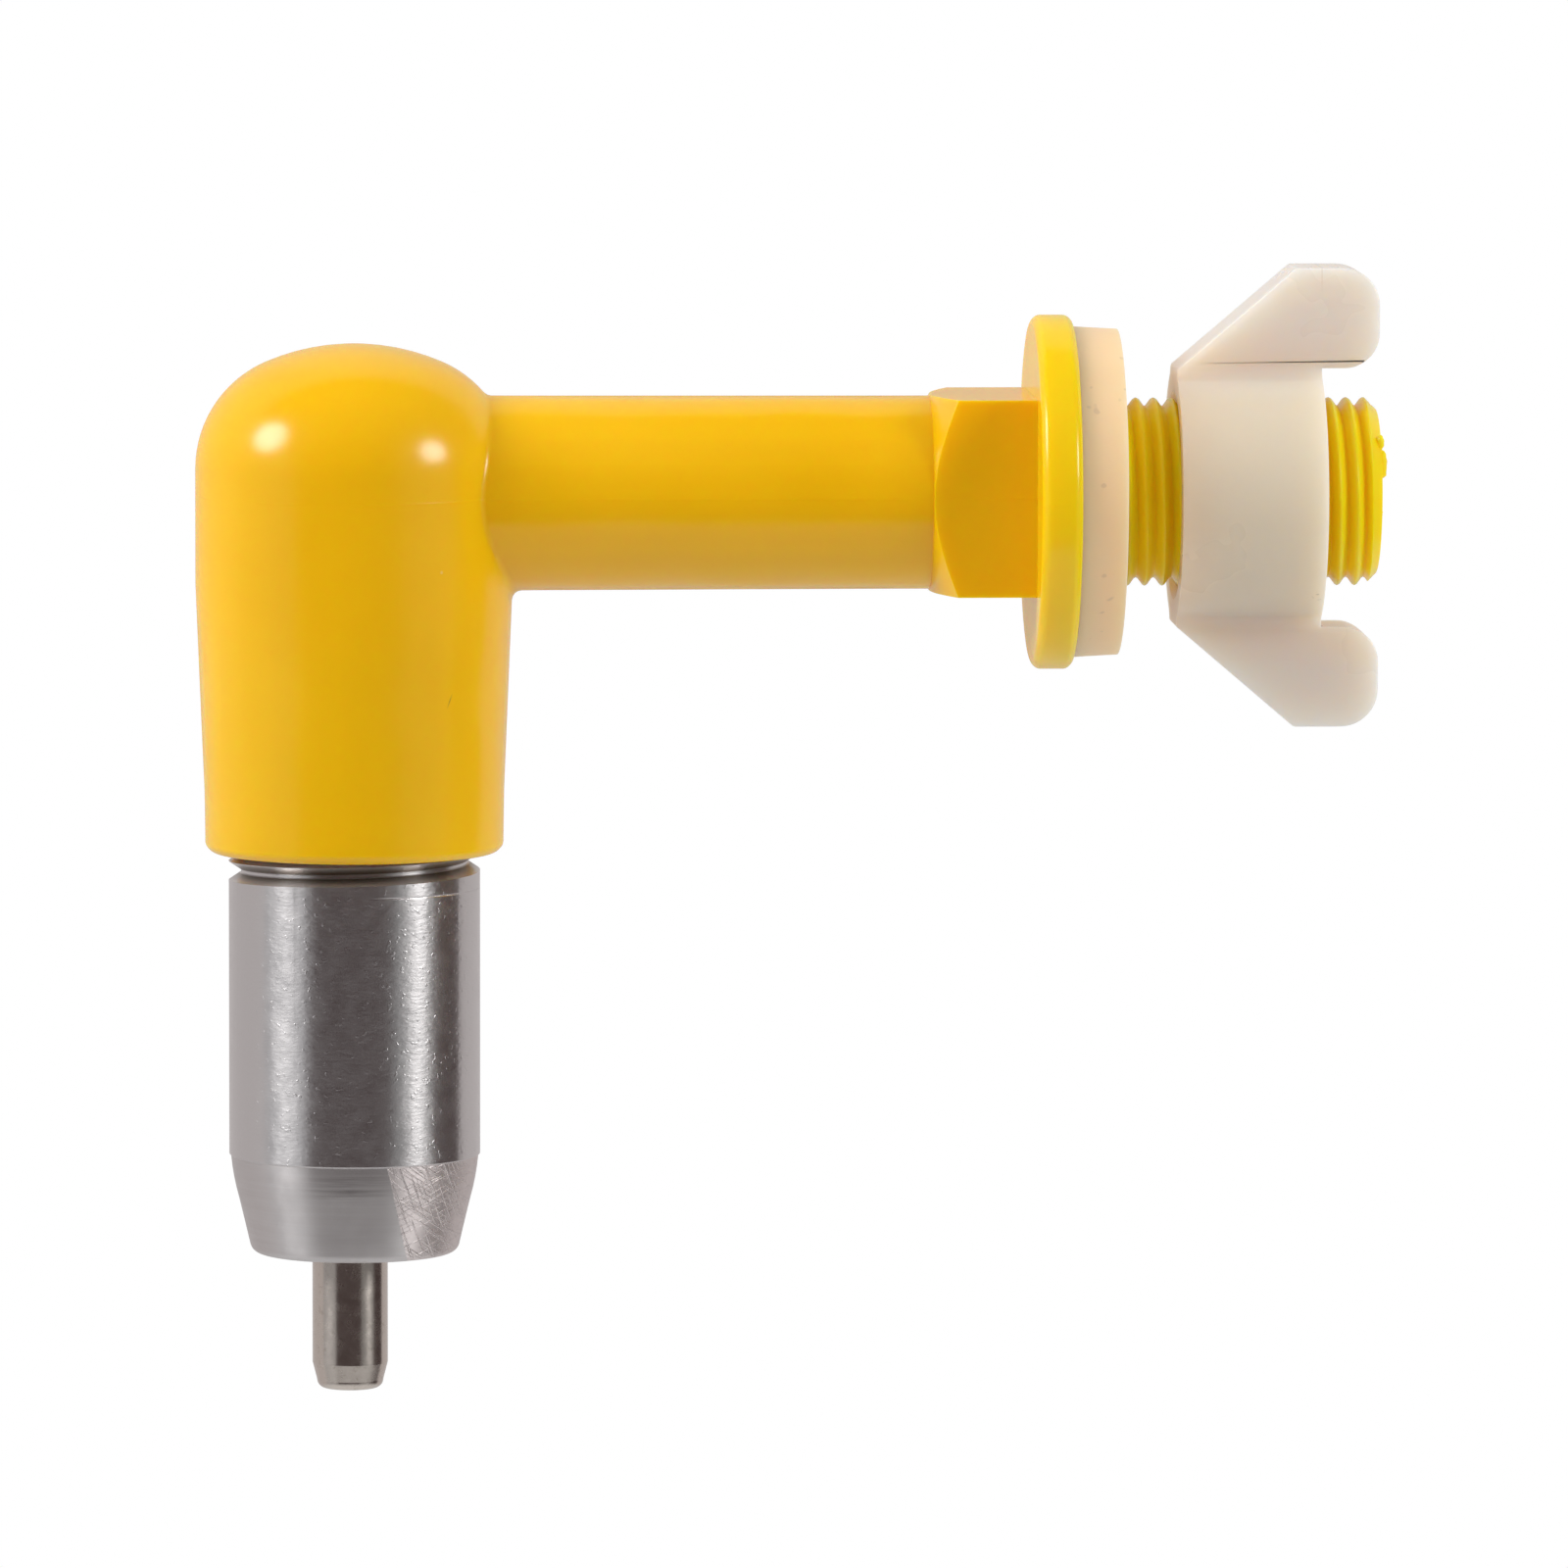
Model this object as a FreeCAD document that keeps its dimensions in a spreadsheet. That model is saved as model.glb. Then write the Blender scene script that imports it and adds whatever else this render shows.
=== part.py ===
"""Poultry nipple drinker on a side-mounting elbow.

A moulded elbow carries a turned nipple that points down. Its threaded stub
passes through a panel or a pipe wall and is clamped by a wing nut against a
soft washer. Inside the nipple a hanging trigger pin and an upper valve stem
each close a seat of their own.

Frame: millimetres, +X along the stub towards the wing nut, +Z up. The origin
is the middle of the washer's clamping face, on the stub's axis.
"""

import FreeCAD, Part
import math
import os

import Sketcher

# name, value in millimetres (or degrees), meaning
SIZES = [
    ("arm_length", 34.95, "barrel axis to the back face of the flange"),
    ("arm_root_radius", 5.045, "arm where it leaves the barrel"),
    ("arm_end_radius", 4.99, "arm at the wrench block, after its draft"),
    ("neck_fillet", 0.5, "blend between the arm and the barrel"),
    ("barrel_radius", 8.18, "widest part of the barrel"),
    ("dome_top", 7.72, "top of the dome above the arm axis"),
    ("crown_radius", 11.5, "flat middle of the dome"),
    ("shoulder_radius", 6.0, "round shoulder of the dome"),
    ("belly_depth", 4.6, "end of the straight barrel below the arm axis"),
    ("taper_depth", 15.3, "end of the tapered skirt"),
    ("taper_radius", 7.74, "barrel at the end of its taper"),
    ("skirt_depth", 18.52, "open end of the barrel"),
    ("skirt_radius", 7.7, "barrel at its open end"),
    ("skirt_edge", 0.35, "bevel of the open end"),
    ("block_side", 10.15, "across the flats of the wrench block"),
    ("block_length", 5.3, "wrench block along the arm"),
    ("bevel_angle", 30, "turned bevel on the block's corners"),
    ("flange_radius", 9.15, "flange that backs the washer"),
    ("flange_thickness", 2.1, "flange that backs the washer"),
    ("flange_edge", 0.3, "bevel of the flange rim"),
    ("stub_radius", 4.865, "crest of the stub's pipe thread"),
    ("stub_length", 15.75, "stub beyond the flange"),
    ("stub_bevel", 0.6, "lead-in at the stub's end"),
    ("waterway_radius", 2.75, "bore through the stub and the arm"),
    ("chamber_radius", 4.4, "water chamber above the nipple"),
    ("chamber_top", 5.2, "top of the chamber above the arm axis"),
    ("chamber_cone", 2.0, "height of the chamber's cone"),
    ("socket_depth", 8.0, "shoulder that the nipple's gasket seals on"),
    ("socket_play", 0.03, "radial clearance of the nipple in its socket"),
    ("mouth_bevel", 0.3, "lead-in bevels at bores"),
    ("washer_radius", 8.55, "sealing washer at the flange"),
    ("washer_face_radius", 8.42, "sealing washer at its clamping face"),
    ("washer_thickness", 2.35, "sealing washer"),
    ("washer_play", 0.08, "radial clearance of the washer on the stub"),
    ("nut_gap", 2.95, "washer face to the nut's clamping face"),
    ("nut_play", 0.235, "radial play of the nut on the thread"),
    ("nut_sag", 0.18, "how far the loose nut hangs below the stub axis"),
    ("hub_radius", 6.65, "hub of the wing nut"),
    ("hub_length", 7.47, "hub of the wing nut"),
    ("wing_top", 11.855, "top of a wing above the nut's axis"),
    ("wing_reach", 10.46, "clamping face to the outer end of a wing"),
    ("wing_shelf", 6.1, "clamping face to where a wing's top turns level"),
    ("wing_inner", 6.7, "inner edge of a wing above the nut's axis"),
    ("wing_thickness", 4.4, "thickness of a wing"),
    ("wing_root_fillet", 1.1, "blend between a wing and the hub"),
    ("wing_outer_round", 1.95, "outer corner of a wing"),
    ("wing_inner_round", 1.8, "inner corner of a wing"),
    ("housing_radius", 6.49, "outside of the nipple"),
    ("housing_depth", 39.35, "lower end of the nipple"),
    ("nose_depth", 34.2, "where the nipple's nose begins"),
    ("nose_step", 0.09, "turned step at the nose"),
    ("nose_waist_depth", 36.5, "end of the nose's curved part"),
    ("nose_waist_radius", 5.99, "nose at the end of its curved part"),
    ("nose_curve", 12, "long curve at the top of the nose"),
    ("nose_end_radius", 5.31, "nose cone carried to the lower end"),
    ("nose_edge", 0.55, "rounding of the nipple's lower edge"),
    ("gasket_thickness", 1.0, "flat gasket above the nipple"),
    ("gasket_outer_radius", 6.3, "flat gasket above the nipple"),
    ("bore_offset", -0.25, "how far off centre the nipple is bored"),
    ("upper_bore_radius", 4.6, "bore that holds the seat bush and the cage"),
    ("shelf_depth", 24.5, "shelf that the seat bush stands on"),
    ("lower_bore_radius", 4.3, "bore round the trigger's head"),
    ("pivot_depth", 27.0, "centre of the trigger's ball seat"),
    ("seat_radius", 3.5, "ring where the trigger's head closes its seat"),
    ("seat_gap", 0.04, "gap left at each closed seat"),
    ("outlet_radius", 3.3, "outlet round the trigger's shank"),
    ("pin_radius", 1.95, "shank of the trigger pin"),
    ("pin_depth", 46.46, "lower end of the trigger pin"),
    ("pin_head_radius", 3.9, "head of the trigger pin"),
    ("pin_head_drop", 1.5, "top of the trigger's head below its pivot"),
    ("pin_tip_taper", 1.35, "height of the tapered tip"),
    ("pin_tip_radius", 1.72, "tip before it rounds over"),
    ("pin_tip_round", 0.45, "rounding of the tip"),
    ("bush_height", 4.0, "seat bush"),
    ("bush_hole_radius", 2.0, "hole through the seat bush"),
    ("bush_seat_rise", 0.9, "height and width of the upper conical seat"),
    ("press_gap", 0.02, "radial gap left at each pressed-in piece"),
    ("stem_radius", 1.2, "shank of the valve stem"),
    ("stem_head_radius", 2.8, "head of the valve stem"),
    ("stem_head_rise", 0.9, "top of the stem's head above the bush"),
    ("stem_rest_gap", 0.05, "valve stem's foot above the trigger's head"),
    ("spigot_radius", 1.0, "guide spigot on the valve stem"),
    ("spigot_height", 2.6, "guide spigot on the valve stem"),
    ("spigot_play", 0.1, "radial play of the spigot in the cage"),
    ("valve_lift", 1.1, "space for the stem's head to rise"),
    ("cage_plate", 1.2, "thickness of the cage's top"),
    ("cage_wall", 0.7, "thickness of the cage's skirt"),
    ("cage_hole_radius", 0.85, "flow holes through the cage's top"),
    ("cage_hole_circle", 2.6, "radius of the circle of flow holes"),
]

CAGE_HOLES = 4

doc = FreeCAD.newDocument("NippleDrinker")


# ---------------------------------------------------------------- sizes


class Size:
    """A size written as an expression on the sheet, so that it stays bound."""

    def __init__(self, text):
        self.text = str(text)

    def __str__(self):
        return self.text

    def __add__(self, other):
        return Size(f"({self} + {other})")

    def __sub__(self, other):
        return Size(f"({self} - {other})")

    def __mul__(self, other):
        return Size(f"({self} * {other})")

    def __truediv__(self, other):
        return Size(f"({self} / {other})")

    def __neg__(self):
        return Size(f"(0 - {self})")

    def value(self):
        return float(doc.Sizes.evalExpression(self.text))


class Sheet:
    """The spreadsheet: sheet.arm_length is that cell, ready for a formula."""

    def __getattr__(self, name):
        return Size(f"Sizes.{name}")


def root(size):
    return Size(f"sqrt({size})")


def tangent(angle):
    return Size(f"tan({angle})")


def value(size):
    return size.value() if isinstance(size, Size) else float(size)


def fill_sheet():
    """One row for each driving dimension, with an alias to call it by."""
    cells = doc.addObject("Spreadsheet::Sheet", "Sizes")
    for row, (name, number, meaning) in enumerate(SIZES, start=1):
        cells.set(f"A{row}", name)
        cells.set(f"B{row}", str(number))
        cells.set(f"C{row}", meaning)
        cells.setAlias(f"B{row}", name)
    doc.recompute()


sheet = Sheet()


# ---------------------------------------------------------------- sketches


def new_body(label, x=0, z=0):
    """A body whose own origin is at (x, 0, z)."""
    body = doc.addObject("PartDesign::Body", label)
    body.Label = label
    body.setExpression("Placement.Base.x", str(x))
    body.setExpression("Placement.Base.z", str(z))
    return body


def new_sketch(body, name, role):
    """A sketch on one of the body's own origin planes."""
    plane = next(item for item in body.Origin.OriginFeatures if item.Role == role)
    sketch = body.newObject("Sketcher::SketchObject", name)
    sketch.AttachmentSupport = (plane, [""])
    sketch.MapMode = "FlatFace"
    return sketch


def bind(sketch, constraint, name, size):
    """Add a constraint and tie its number to the sheet."""
    index = sketch.addConstraint(constraint)
    sketch.renameConstraint(index, name)
    sketch.setExpression(f"Constraints.{name}", str(size))


def hold(sketch, edge, end, place):
    """Hold one end of an edge at a place, a pair of sizes."""
    for kind, axis, size in (("DistanceX", -2, place[0]), ("DistanceY", -1, place[1])):
        number = value(size)
        if abs(number) < 1e-9:
            sketch.addConstraint(Sketcher.Constraint("PointOnObject", edge, end, axis))
        else:
            constraint = Sketcher.Constraint(kind, -1, 1, edge, end, number)
            bind(sketch, constraint, f"{kind[-1].lower()}{edge}_{end}", size)


def draw_arc(sketch, start, end, radius):
    """A short arc from start to end that bulges to the left of that way.

    The sketch keeps every arc anticlockwise, so this one is drawn from its end.
    """
    chord = [b - a for a, b in zip(start, end)]
    length = math.hypot(*chord)
    rise = radius - math.sqrt(radius**2 - (length / 2) ** 2)
    normal = (-chord[1] / length, chord[0] / length)
    middle = [(a + b) / 2 + rise * n for a, b, n in zip(start, end, normal)]
    places = [FreeCAD.Vector(x, y, 0) for x, y in (end, middle, start)]
    return sketch.addGeometry(Part.Arc(*places), False)


def draw_outline(sketch, corners, arcs=None):
    """A closed outline through corners, each a pair of sizes.

    arcs gives the radius of each run that is round; run i leaves corner i.
    """
    arcs = arcs or {}
    places = [(value(x), value(y)) for x, y in corners]
    runs = []
    for i, start in enumerate(places):
        end = places[(i + 1) % len(places)]
        if i in arcs:
            edge, ends = draw_arc(sketch, start, end, value(arcs[i])), (2, 1)
            radius_bond = Sketcher.Constraint("Radius", edge, value(arcs[i]))
            bind(sketch, radius_bond, f"radius{edge}", arcs[i])
        else:
            points = [FreeCAD.Vector(x, y, 0) for x, y in (start, end)]
            edge, ends = sketch.addGeometry(Part.LineSegment(*points), False), (1, 2)
        runs.append((edge, ends))
    for i, (edge, ends) in enumerate(runs):
        last_edge, last_ends = runs[i - 1]
        bond = Sketcher.Constraint("Coincident", last_edge, last_ends[1], edge, ends[0])
        sketch.addConstraint(bond)
        hold(sketch, edge, ends[0], corners[i])


def draw_circle(sketch, radius, centre=(0, 0)):
    """A circle, held by its centre and its radius."""
    middle = FreeCAD.Vector(value(centre[0]), value(centre[1]), 0)
    circle = Part.Circle(middle, FreeCAD.Vector(0, 0, 1), value(radius))
    edge = sketch.addGeometry(circle, False)
    hold(sketch, edge, 3, centre)
    bind(sketch, Sketcher.Constraint("Radius", edge, value(radius)), f"radius{edge}", radius)


# ---------------------------------------------------------------- features


def turn(body, name, corners, arcs=None, axis="V_Axis", kind="Revolution", centre=None):
    """A turned feature, or a turned cut, about one axis of its sketch.

    centre moves the axis sideways, for a bore that isn't in the middle.
    """
    sketch = new_sketch(body, f"{name}Sketch", "XZ_Plane")
    draw_outline(sketch, corners, arcs)
    if centre is not None:
        ends = (FreeCAD.Vector(value(centre), 0, 0), FreeCAD.Vector(value(centre), 1, 0))
        edge = sketch.addGeometry(Part.LineSegment(*ends), True)
        hold(sketch, edge, 1, (centre, 0))
        hold(sketch, edge, 2, (centre, 1))
        axis = "Axis0"
    feature = body.newObject(f"PartDesign::{kind}", name)
    feature.Profile = sketch
    feature.ReferenceAxis = (sketch, [axis])
    feature.Angle = 360
    return feature


def cut_turned(body, name, corners, **more):
    return turn(body, name, corners, kind="Groove", **more)


def pad(body, name, sketch, length, both_ways=False):
    feature = body.newObject("PartDesign::Pad", name)
    feature.Profile = sketch
    feature.SideType = "Symmetric" if both_ways else "One side"
    feature.setExpression("Length", str(length))
    return feature


def pocket(body, name, sketch, reverse=False, both_ways=False):
    """A cut straight through the body."""
    feature = body.newObject("PartDesign::Pocket", name)
    feature.Profile = sketch
    feature.Type = "ThroughAll"
    feature.SideType = "Symmetric" if both_ways else "One side"
    feature.Reversed = reverse
    return feature


def edges_where(feature, wanted):
    """Names of the feature's edges whose sampled points all pass a test."""
    doc.recompute()
    names = []
    for number, edge in enumerate(feature.Shape.Edges, start=1):
        if not edge.Degenerated and all(wanted(p) for p in edge.discretize(Number=9)):
            names.append(f"Edge{number}")
    if not names:
        raise ValueError(f"no edge found on {feature.Name}")
    return names


def dress(body, kind, name, base, names, size):
    """A fillet or a chamfer on named edges of the last feature."""
    feature = body.newObject(f"PartDesign::{kind}", name)
    feature.Base = (base, names)
    feature.setExpression("Radius" if kind == "Fillet" else "Size", str(size))
    return feature


def is_round(feature, name):
    """True for a whole circle, false for the seam that a turned face keeps."""
    return feature.Shape.getElement(name).isClosed()


def near(a, b, tolerance=0.02):
    return abs(a - b) < tolerance


# ---------------------------------------------------------------- the moulded elbow


def barrel_profile():
    """Half of the barrel: a crowned dome, a straight belly and a tapered skirt."""
    s = sheet
    inner = s.crown_radius - s.shoulder_radius
    overhang = s.barrel_radius - s.shoulder_radius
    swing = root(inner * inner - overhang * overhang)
    crown_centre = s.dome_top - s.crown_radius
    corners = [
        (0, s.dome_top),
        (s.crown_radius * overhang / inner, crown_centre + s.crown_radius * swing / inner),
        (s.barrel_radius, crown_centre + swing),
        (s.barrel_radius, -s.belly_depth),
        (s.taper_radius, -s.taper_depth),
        (s.skirt_radius, -(s.skirt_depth - s.skirt_edge)),
        (s.skirt_radius - s.skirt_edge, -s.skirt_depth),
        (0, -s.skirt_depth),
    ]
    arcs = {
        0: s.crown_radius,
        1: s.shoulder_radius,
    }
    return corners, arcs


def arm_profile():
    """Half of the arm, from the barrel's axis into the wrench block."""
    s = sheet
    end = s.arm_length - s.block_length / 2
    return [(0, 0), (0, s.arm_root_radius), (end, s.arm_end_radius), (end, 0)]


def stub_profile():
    """Half of the flange and the stub."""
    s = sheet
    face = s.arm_length + s.flange_thickness
    end = face + s.stub_length
    return [
        (s.arm_length, 0),
        (s.arm_length, s.flange_radius),
        (face, s.flange_radius),
        (face, s.stub_radius),
        (end - s.stub_bevel, s.stub_radius),
        (end, s.stub_radius - s.stub_bevel),
        (end, 0),
    ]


def bevel_profile():
    """What the lathe takes off the wrench block's corners."""
    s = sheet
    back = s.arm_length - s.block_length
    start = s.arm_end_radius + 0.02
    rise = s.block_side * 0.75 - start
    lead = rise * tangent(s.bevel_angle)
    return [(back, start), (back + lead, start + rise), (back - lead, start + rise), (back - lead, start)]


def well_profile():
    """Half of the water chamber and of the socket below it."""
    s = sheet
    socket = s.housing_radius + s.socket_play
    below = -(s.skirt_depth + s.skirt_edge)
    return [
        (0, s.chamber_top),
        (s.chamber_radius, s.chamber_top - s.chamber_cone),
        (s.chamber_radius, -s.socket_depth),
        (socket, -s.socket_depth),
        (socket, -(s.skirt_depth - s.mouth_bevel)),
        (socket + s.mouth_bevel, -s.skirt_depth),
        (socket + s.mouth_bevel, below),
        (0, below),
    ]


def make_elbow_body(reach):
    """One moulding: barrel, arm, wrench block, flange and threaded stub."""
    s = sheet
    body = new_body("elbow_body", x=-reach)
    corners, arcs = barrel_profile()
    turn(body, "Barrel", corners, arcs)
    arm = turn(body, "Arm", arm_profile(), axis="H_Axis")
    blend_neck(body, arm)

    sketch = new_sketch(body, "BlockSketch", "XZ_Plane")
    back = s.arm_length - s.block_length
    half = s.block_side / 2
    draw_outline(sketch, [(back, -half), (s.arm_length, -half), (s.arm_length, half), (back, half)])
    pad(body, "WrenchBlock", sketch, s.block_side, both_ways=True)
    cut_turned(body, "BlockBevel", bevel_profile(), axis="H_Axis")

    stub = turn(body, "Stub", stub_profile(), axis="H_Axis")
    rim = value(s.flange_radius)
    names = edges_where(stub, lambda p: near(math.hypot(p.y, p.z), rim))
    dress(body, "Chamfer", "FlangeEdge", stub, names, s.flange_edge)

    cut_turned(body, "Well", well_profile())
    sketch = new_sketch(body, "WaterwaySketch", "YZ_Plane")
    draw_circle(sketch, s.waterway_radius)
    waterway = pocket(body, "Waterway", sketch, reverse=True)
    end = value(s.arm_length + s.flange_thickness + s.stub_length)
    bore = value(s.waterway_radius)
    names = edges_where(waterway, lambda p: near(p.x, end) and near(math.hypot(p.y, p.z), bore))
    dress(body, "Chamfer", "WaterwayMouth", waterway, names, s.mouth_bevel)
    return body


def blend_neck(body, arm):
    """The small blend all round where the arm leaves the barrel."""
    s = sheet
    slope = value((s.arm_root_radius - s.arm_end_radius) / (s.arm_length - s.block_length / 2))
    foot = value(s.arm_root_radius)
    reach = value(s.barrel_radius) + 0.1

    def on_neck(p):
        return 0.1 < p.x < reach and near(math.hypot(p.y, p.z), foot - slope * p.x)

    dress(body, "Fillet", "Neck", arm, edges_where(arm, on_neck), s.neck_fillet)


# ---------------------------------------------------------------- washer and wing nut


def make_sealing_washer():
    """The soft washer between the flange and the panel, a little conical."""
    s = sheet
    body = new_body("sealing_washer", x=-s.washer_thickness)
    bore = s.stub_radius + s.washer_play
    corners = [
        (0, bore),
        (0, s.washer_radius),
        (s.washer_thickness, s.washer_face_radius),
        (s.washer_thickness, bore),
    ]
    turn(body, "Ring", corners, axis="H_Axis")
    return body


def nut_outline():
    """The wing nut's outline, seen square to its wings."""
    s = sheet
    upper = [
        (0, s.hub_radius),
        (s.wing_shelf, s.wing_top),
        (s.wing_reach, s.wing_top),
        (s.wing_reach, s.wing_inner),
        (s.hub_length, s.wing_inner),
    ]
    lower = [(x, -z) for x, z in reversed(upper)]
    return upper + lower


def make_wing_nut():
    """A moulded hub with two swept wings, standing on its clamping face."""
    s = sheet
    body = new_body("wing_nut", x=s.nut_gap, z=-s.nut_sag)
    sketch = new_sketch(body, "HubSketch", "YZ_Plane")
    draw_circle(sketch, s.hub_radius)
    pad(body, "Hub", sketch, s.wing_reach)

    sketch = new_sketch(body, "WingSketch", "YZ_Plane")
    half = s.wing_thickness / 2
    draw_outline(sketch, [(-half, -s.wing_top), (half, -s.wing_top), (half, s.wing_top), (-half, s.wing_top)])
    wings = pad(body, "Wings", sketch, s.wing_reach)
    hub, flat = value(s.hub_radius), value(half)
    length = value(s.wing_reach)

    def at_root(p):
        return near(math.hypot(p.y, p.z), hub) and near(abs(p.y), flat)

    def runs_along(name):
        edge = wings.Shape.getElement(name)
        return near(edge.Length, length)

    names = [name for name in edges_where(wings, at_root) if runs_along(name)]
    roots = dress(body, "Fillet", "WingRoots", wings, names, s.wing_root_fillet)

    sketch = new_sketch(body, "OutlineSketch", "XZ_Plane")
    draw_outline(sketch, nut_outline())
    margin = s.wing_top * 2
    draw_outline(sketch, [(-margin, -margin), (margin, -margin), (margin, margin), (-margin, margin)])
    shaped = pocket(body, "Outline", sketch, both_ways=True)

    shaped = round_wing_corners(body, shaped)
    sketch = new_sketch(body, "BoreSketch", "YZ_Plane")
    bore = s.stub_radius + s.nut_play
    draw_circle(sketch, bore)
    bored = pocket(body, "Bore", sketch, reverse=True)
    names = edges_where(bored, lambda p: near(math.hypot(p.y, p.z), value(bore)))
    names = [name for name in names if is_round(bored, name)]
    dress(body, "Chamfer", "BoreMouths", bored, names, s.mouth_bevel)
    return body


def round_wing_corners(body, shaped):
    """The round corners at the outer end of each wing."""
    s = sheet
    end = value(s.wing_reach)
    corners = (
        ("WingOuterCorners", value(s.wing_top), s.wing_outer_round),
        ("WingInnerCorners", value(s.wing_inner), s.wing_inner_round),
    )
    for name, height, radius in corners:
        names = edges_where(shaped, lambda p: near(p.x, end) and near(abs(p.z), height))
        shaped = dress(body, "Fillet", name, shaped, names, radius)
    return shaped


# ---------------------------------------------------------------- the nipple


def housing_profile():
    """Half of the outside of the nipple: a straight body and a bowed nose."""
    s = sheet
    top = -(s.socket_depth + s.gasket_thickness)
    nose_radius = s.housing_radius - s.nose_step
    corners = [
        (0, top),
        (s.housing_radius - s.mouth_bevel, top),
        (s.housing_radius, top - s.mouth_bevel),
        (s.housing_radius, -s.nose_depth),
        (nose_radius, -(s.nose_depth + s.nose_step)),
        (s.nose_waist_radius, -s.nose_waist_depth),
        (s.nose_end_radius, -s.housing_depth),
        (0, -s.housing_depth),
    ]
    return corners, {4: s.nose_curve}


def bore_profile():
    """Half of the nipple's bore: upper bore, shelf, lower bore, seat, outlet."""
    s = sheet
    middle = s.bore_offset
    top = -(s.socket_depth + s.gasket_thickness)
    seat_in = s.pivot_depth + s.seat_radius - (s.lower_bore_radius - s.seat_radius)
    seat_out = s.pivot_depth + s.seat_radius + (s.seat_radius - s.outlet_radius)
    steps = [
        (0, top),
        (s.upper_bore_radius, top),
        (s.upper_bore_radius, -s.shelf_depth),
        (s.lower_bore_radius, -s.shelf_depth),
        (s.lower_bore_radius, -seat_in),
        (s.outlet_radius, -seat_out),
        (s.outlet_radius, -(s.housing_depth - s.mouth_bevel)),
        (s.outlet_radius + s.mouth_bevel, -s.housing_depth),
        (0, -s.housing_depth),
    ]
    return [(middle + radius, depth) for radius, depth in steps]


def make_nipple_housing(reach):
    """The turned barrel that holds both valves, bored a little off centre."""
    s = sheet
    body = new_body("nipple_housing", x=-reach)
    corners, arcs = housing_profile()
    outside = turn(body, "Outside", corners, arcs)
    end = value(-s.housing_depth)
    names = edges_where(outside, lambda p: near(p.z, end) and math.hypot(p.x, p.y) > 1)
    names = [name for name in names if is_round(outside, name)]
    dress(body, "Fillet", "LowerEdge", outside, names, s.nose_edge)
    cut_turned(body, "Inside", bore_profile(), centre=s.bore_offset)
    return body


def make_thread_gasket(reach):
    """The flat rubber ring between the nipple's top and the elbow's shoulder."""
    s = sheet
    body = new_body("thread_gasket", x=-reach)
    inner = s.upper_bore_radius + s.press_gap
    low = -(s.socket_depth + s.gasket_thickness)
    corners = [
        (inner, low),
        (s.gasket_outer_radius, low),
        (s.gasket_outer_radius, -s.socket_depth),
        (inner, -s.socket_depth),
    ]
    turn(body, "Ring", corners)
    return body


def make_seat_bush(middle):
    """The pressed-in bush with the upper conical seat."""
    s = sheet
    body = new_body("seat_bush", x=middle, z=-s.shelf_depth)
    outer = s.upper_bore_radius - s.press_gap
    rise = s.bush_seat_rise
    corners = [
        (s.bush_hole_radius, 0),
        (outer, 0),
        (outer, s.bush_height),
        (s.bush_hole_radius + rise, s.bush_height),
        (s.bush_hole_radius, s.bush_height - rise),
    ]
    turn(body, "Bush", corners)
    return body


def make_valve_cage(middle):
    """The perforated cap on the bush that guides the stem and stops its lift."""
    s = sheet
    body = new_body("valve_cage", x=middle, z=s.bush_height - s.shelf_depth)
    outer = s.upper_bore_radius - s.press_gap
    inner = outer - s.cage_wall
    under = s.stem_head_rise + s.valve_lift
    top = under + s.cage_plate
    guide = s.spigot_radius + s.spigot_play
    corners = [
        (inner, 0),
        (outer, 0),
        (outer, top),
        (guide, top),
        (guide, under),
        (inner, under),
    ]
    turn(body, "Cap", corners)
    sketch = new_sketch(body, "FlowHoleSketch", "XY_Plane")
    draw_circle(sketch, s.cage_hole_radius, (s.cage_hole_circle, 0))
    hole = pocket(body, "FlowHole", sketch, reverse=True)
    holes = body.newObject("PartDesign::PolarPattern", "FlowHoles")
    holes.Originals = [hole]
    holes.Axis = (sketch, ["N_Axis"])
    holes.Angle = 360
    holes.Occurrences = CAGE_HOLES
    body.Tip = holes
    return body


def make_valve_stem(middle):
    """The upper valve: a guided conical head and a shank down to the trigger."""
    s = sheet
    body = new_body("valve_stem", x=middle, z=s.bush_height - s.shelf_depth)
    slack = s.seat_gap * math.sqrt(2)
    cone_foot = s.bush_hole_radius - s.stem_radius + s.bush_seat_rise - slack
    edge = s.stem_head_radius - s.stem_radius - cone_foot
    seat_plane = s.pivot_depth - s.shelf_depth + s.bush_height
    foot = seat_plane + s.pin_head_drop - s.stem_rest_gap
    head = s.stem_head_rise
    corners = [
        (0, head + s.spigot_height),
        (s.spigot_radius, head + s.spigot_height),
        (s.spigot_radius, head),
        (s.stem_head_radius, head),
        (s.stem_head_radius, edge),
        (s.stem_radius, -cone_foot),
        (s.stem_radius, s.stem_radius - foot),
        (0, -foot),
    ]
    turn(body, "Stem", corners, {6: s.stem_radius})
    return body


def make_trigger_pin(middle):
    """The hanging pin that the bird moves, with a ball-seated head."""
    s = sheet
    body = new_body("trigger_pin", x=middle, z=-s.pivot_depth)
    ball = s.seat_radius * math.sqrt(2) - s.seat_gap
    rim = root(ball * ball - s.pin_head_radius * s.pin_head_radius)
    neck = root(ball * ball - s.pin_radius * s.pin_radius)
    end = s.pin_depth - s.pivot_depth
    corners = [
        (0, -s.pin_head_drop),
        (s.pin_head_radius, -s.pin_head_drop),
        (s.pin_head_radius, -rim),
        (s.pin_radius, -neck),
        (s.pin_radius, -(end - s.pin_tip_taper)),
        (s.pin_tip_radius, -(end - s.pin_tip_round)),
        (s.pin_tip_radius - s.pin_tip_round, -end),
        (0, -end),
    ]
    turn(body, "Pin", corners, {2: ball, 5: s.pin_tip_round})
    return body


# ---------------------------------------------------------------- build and write


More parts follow.
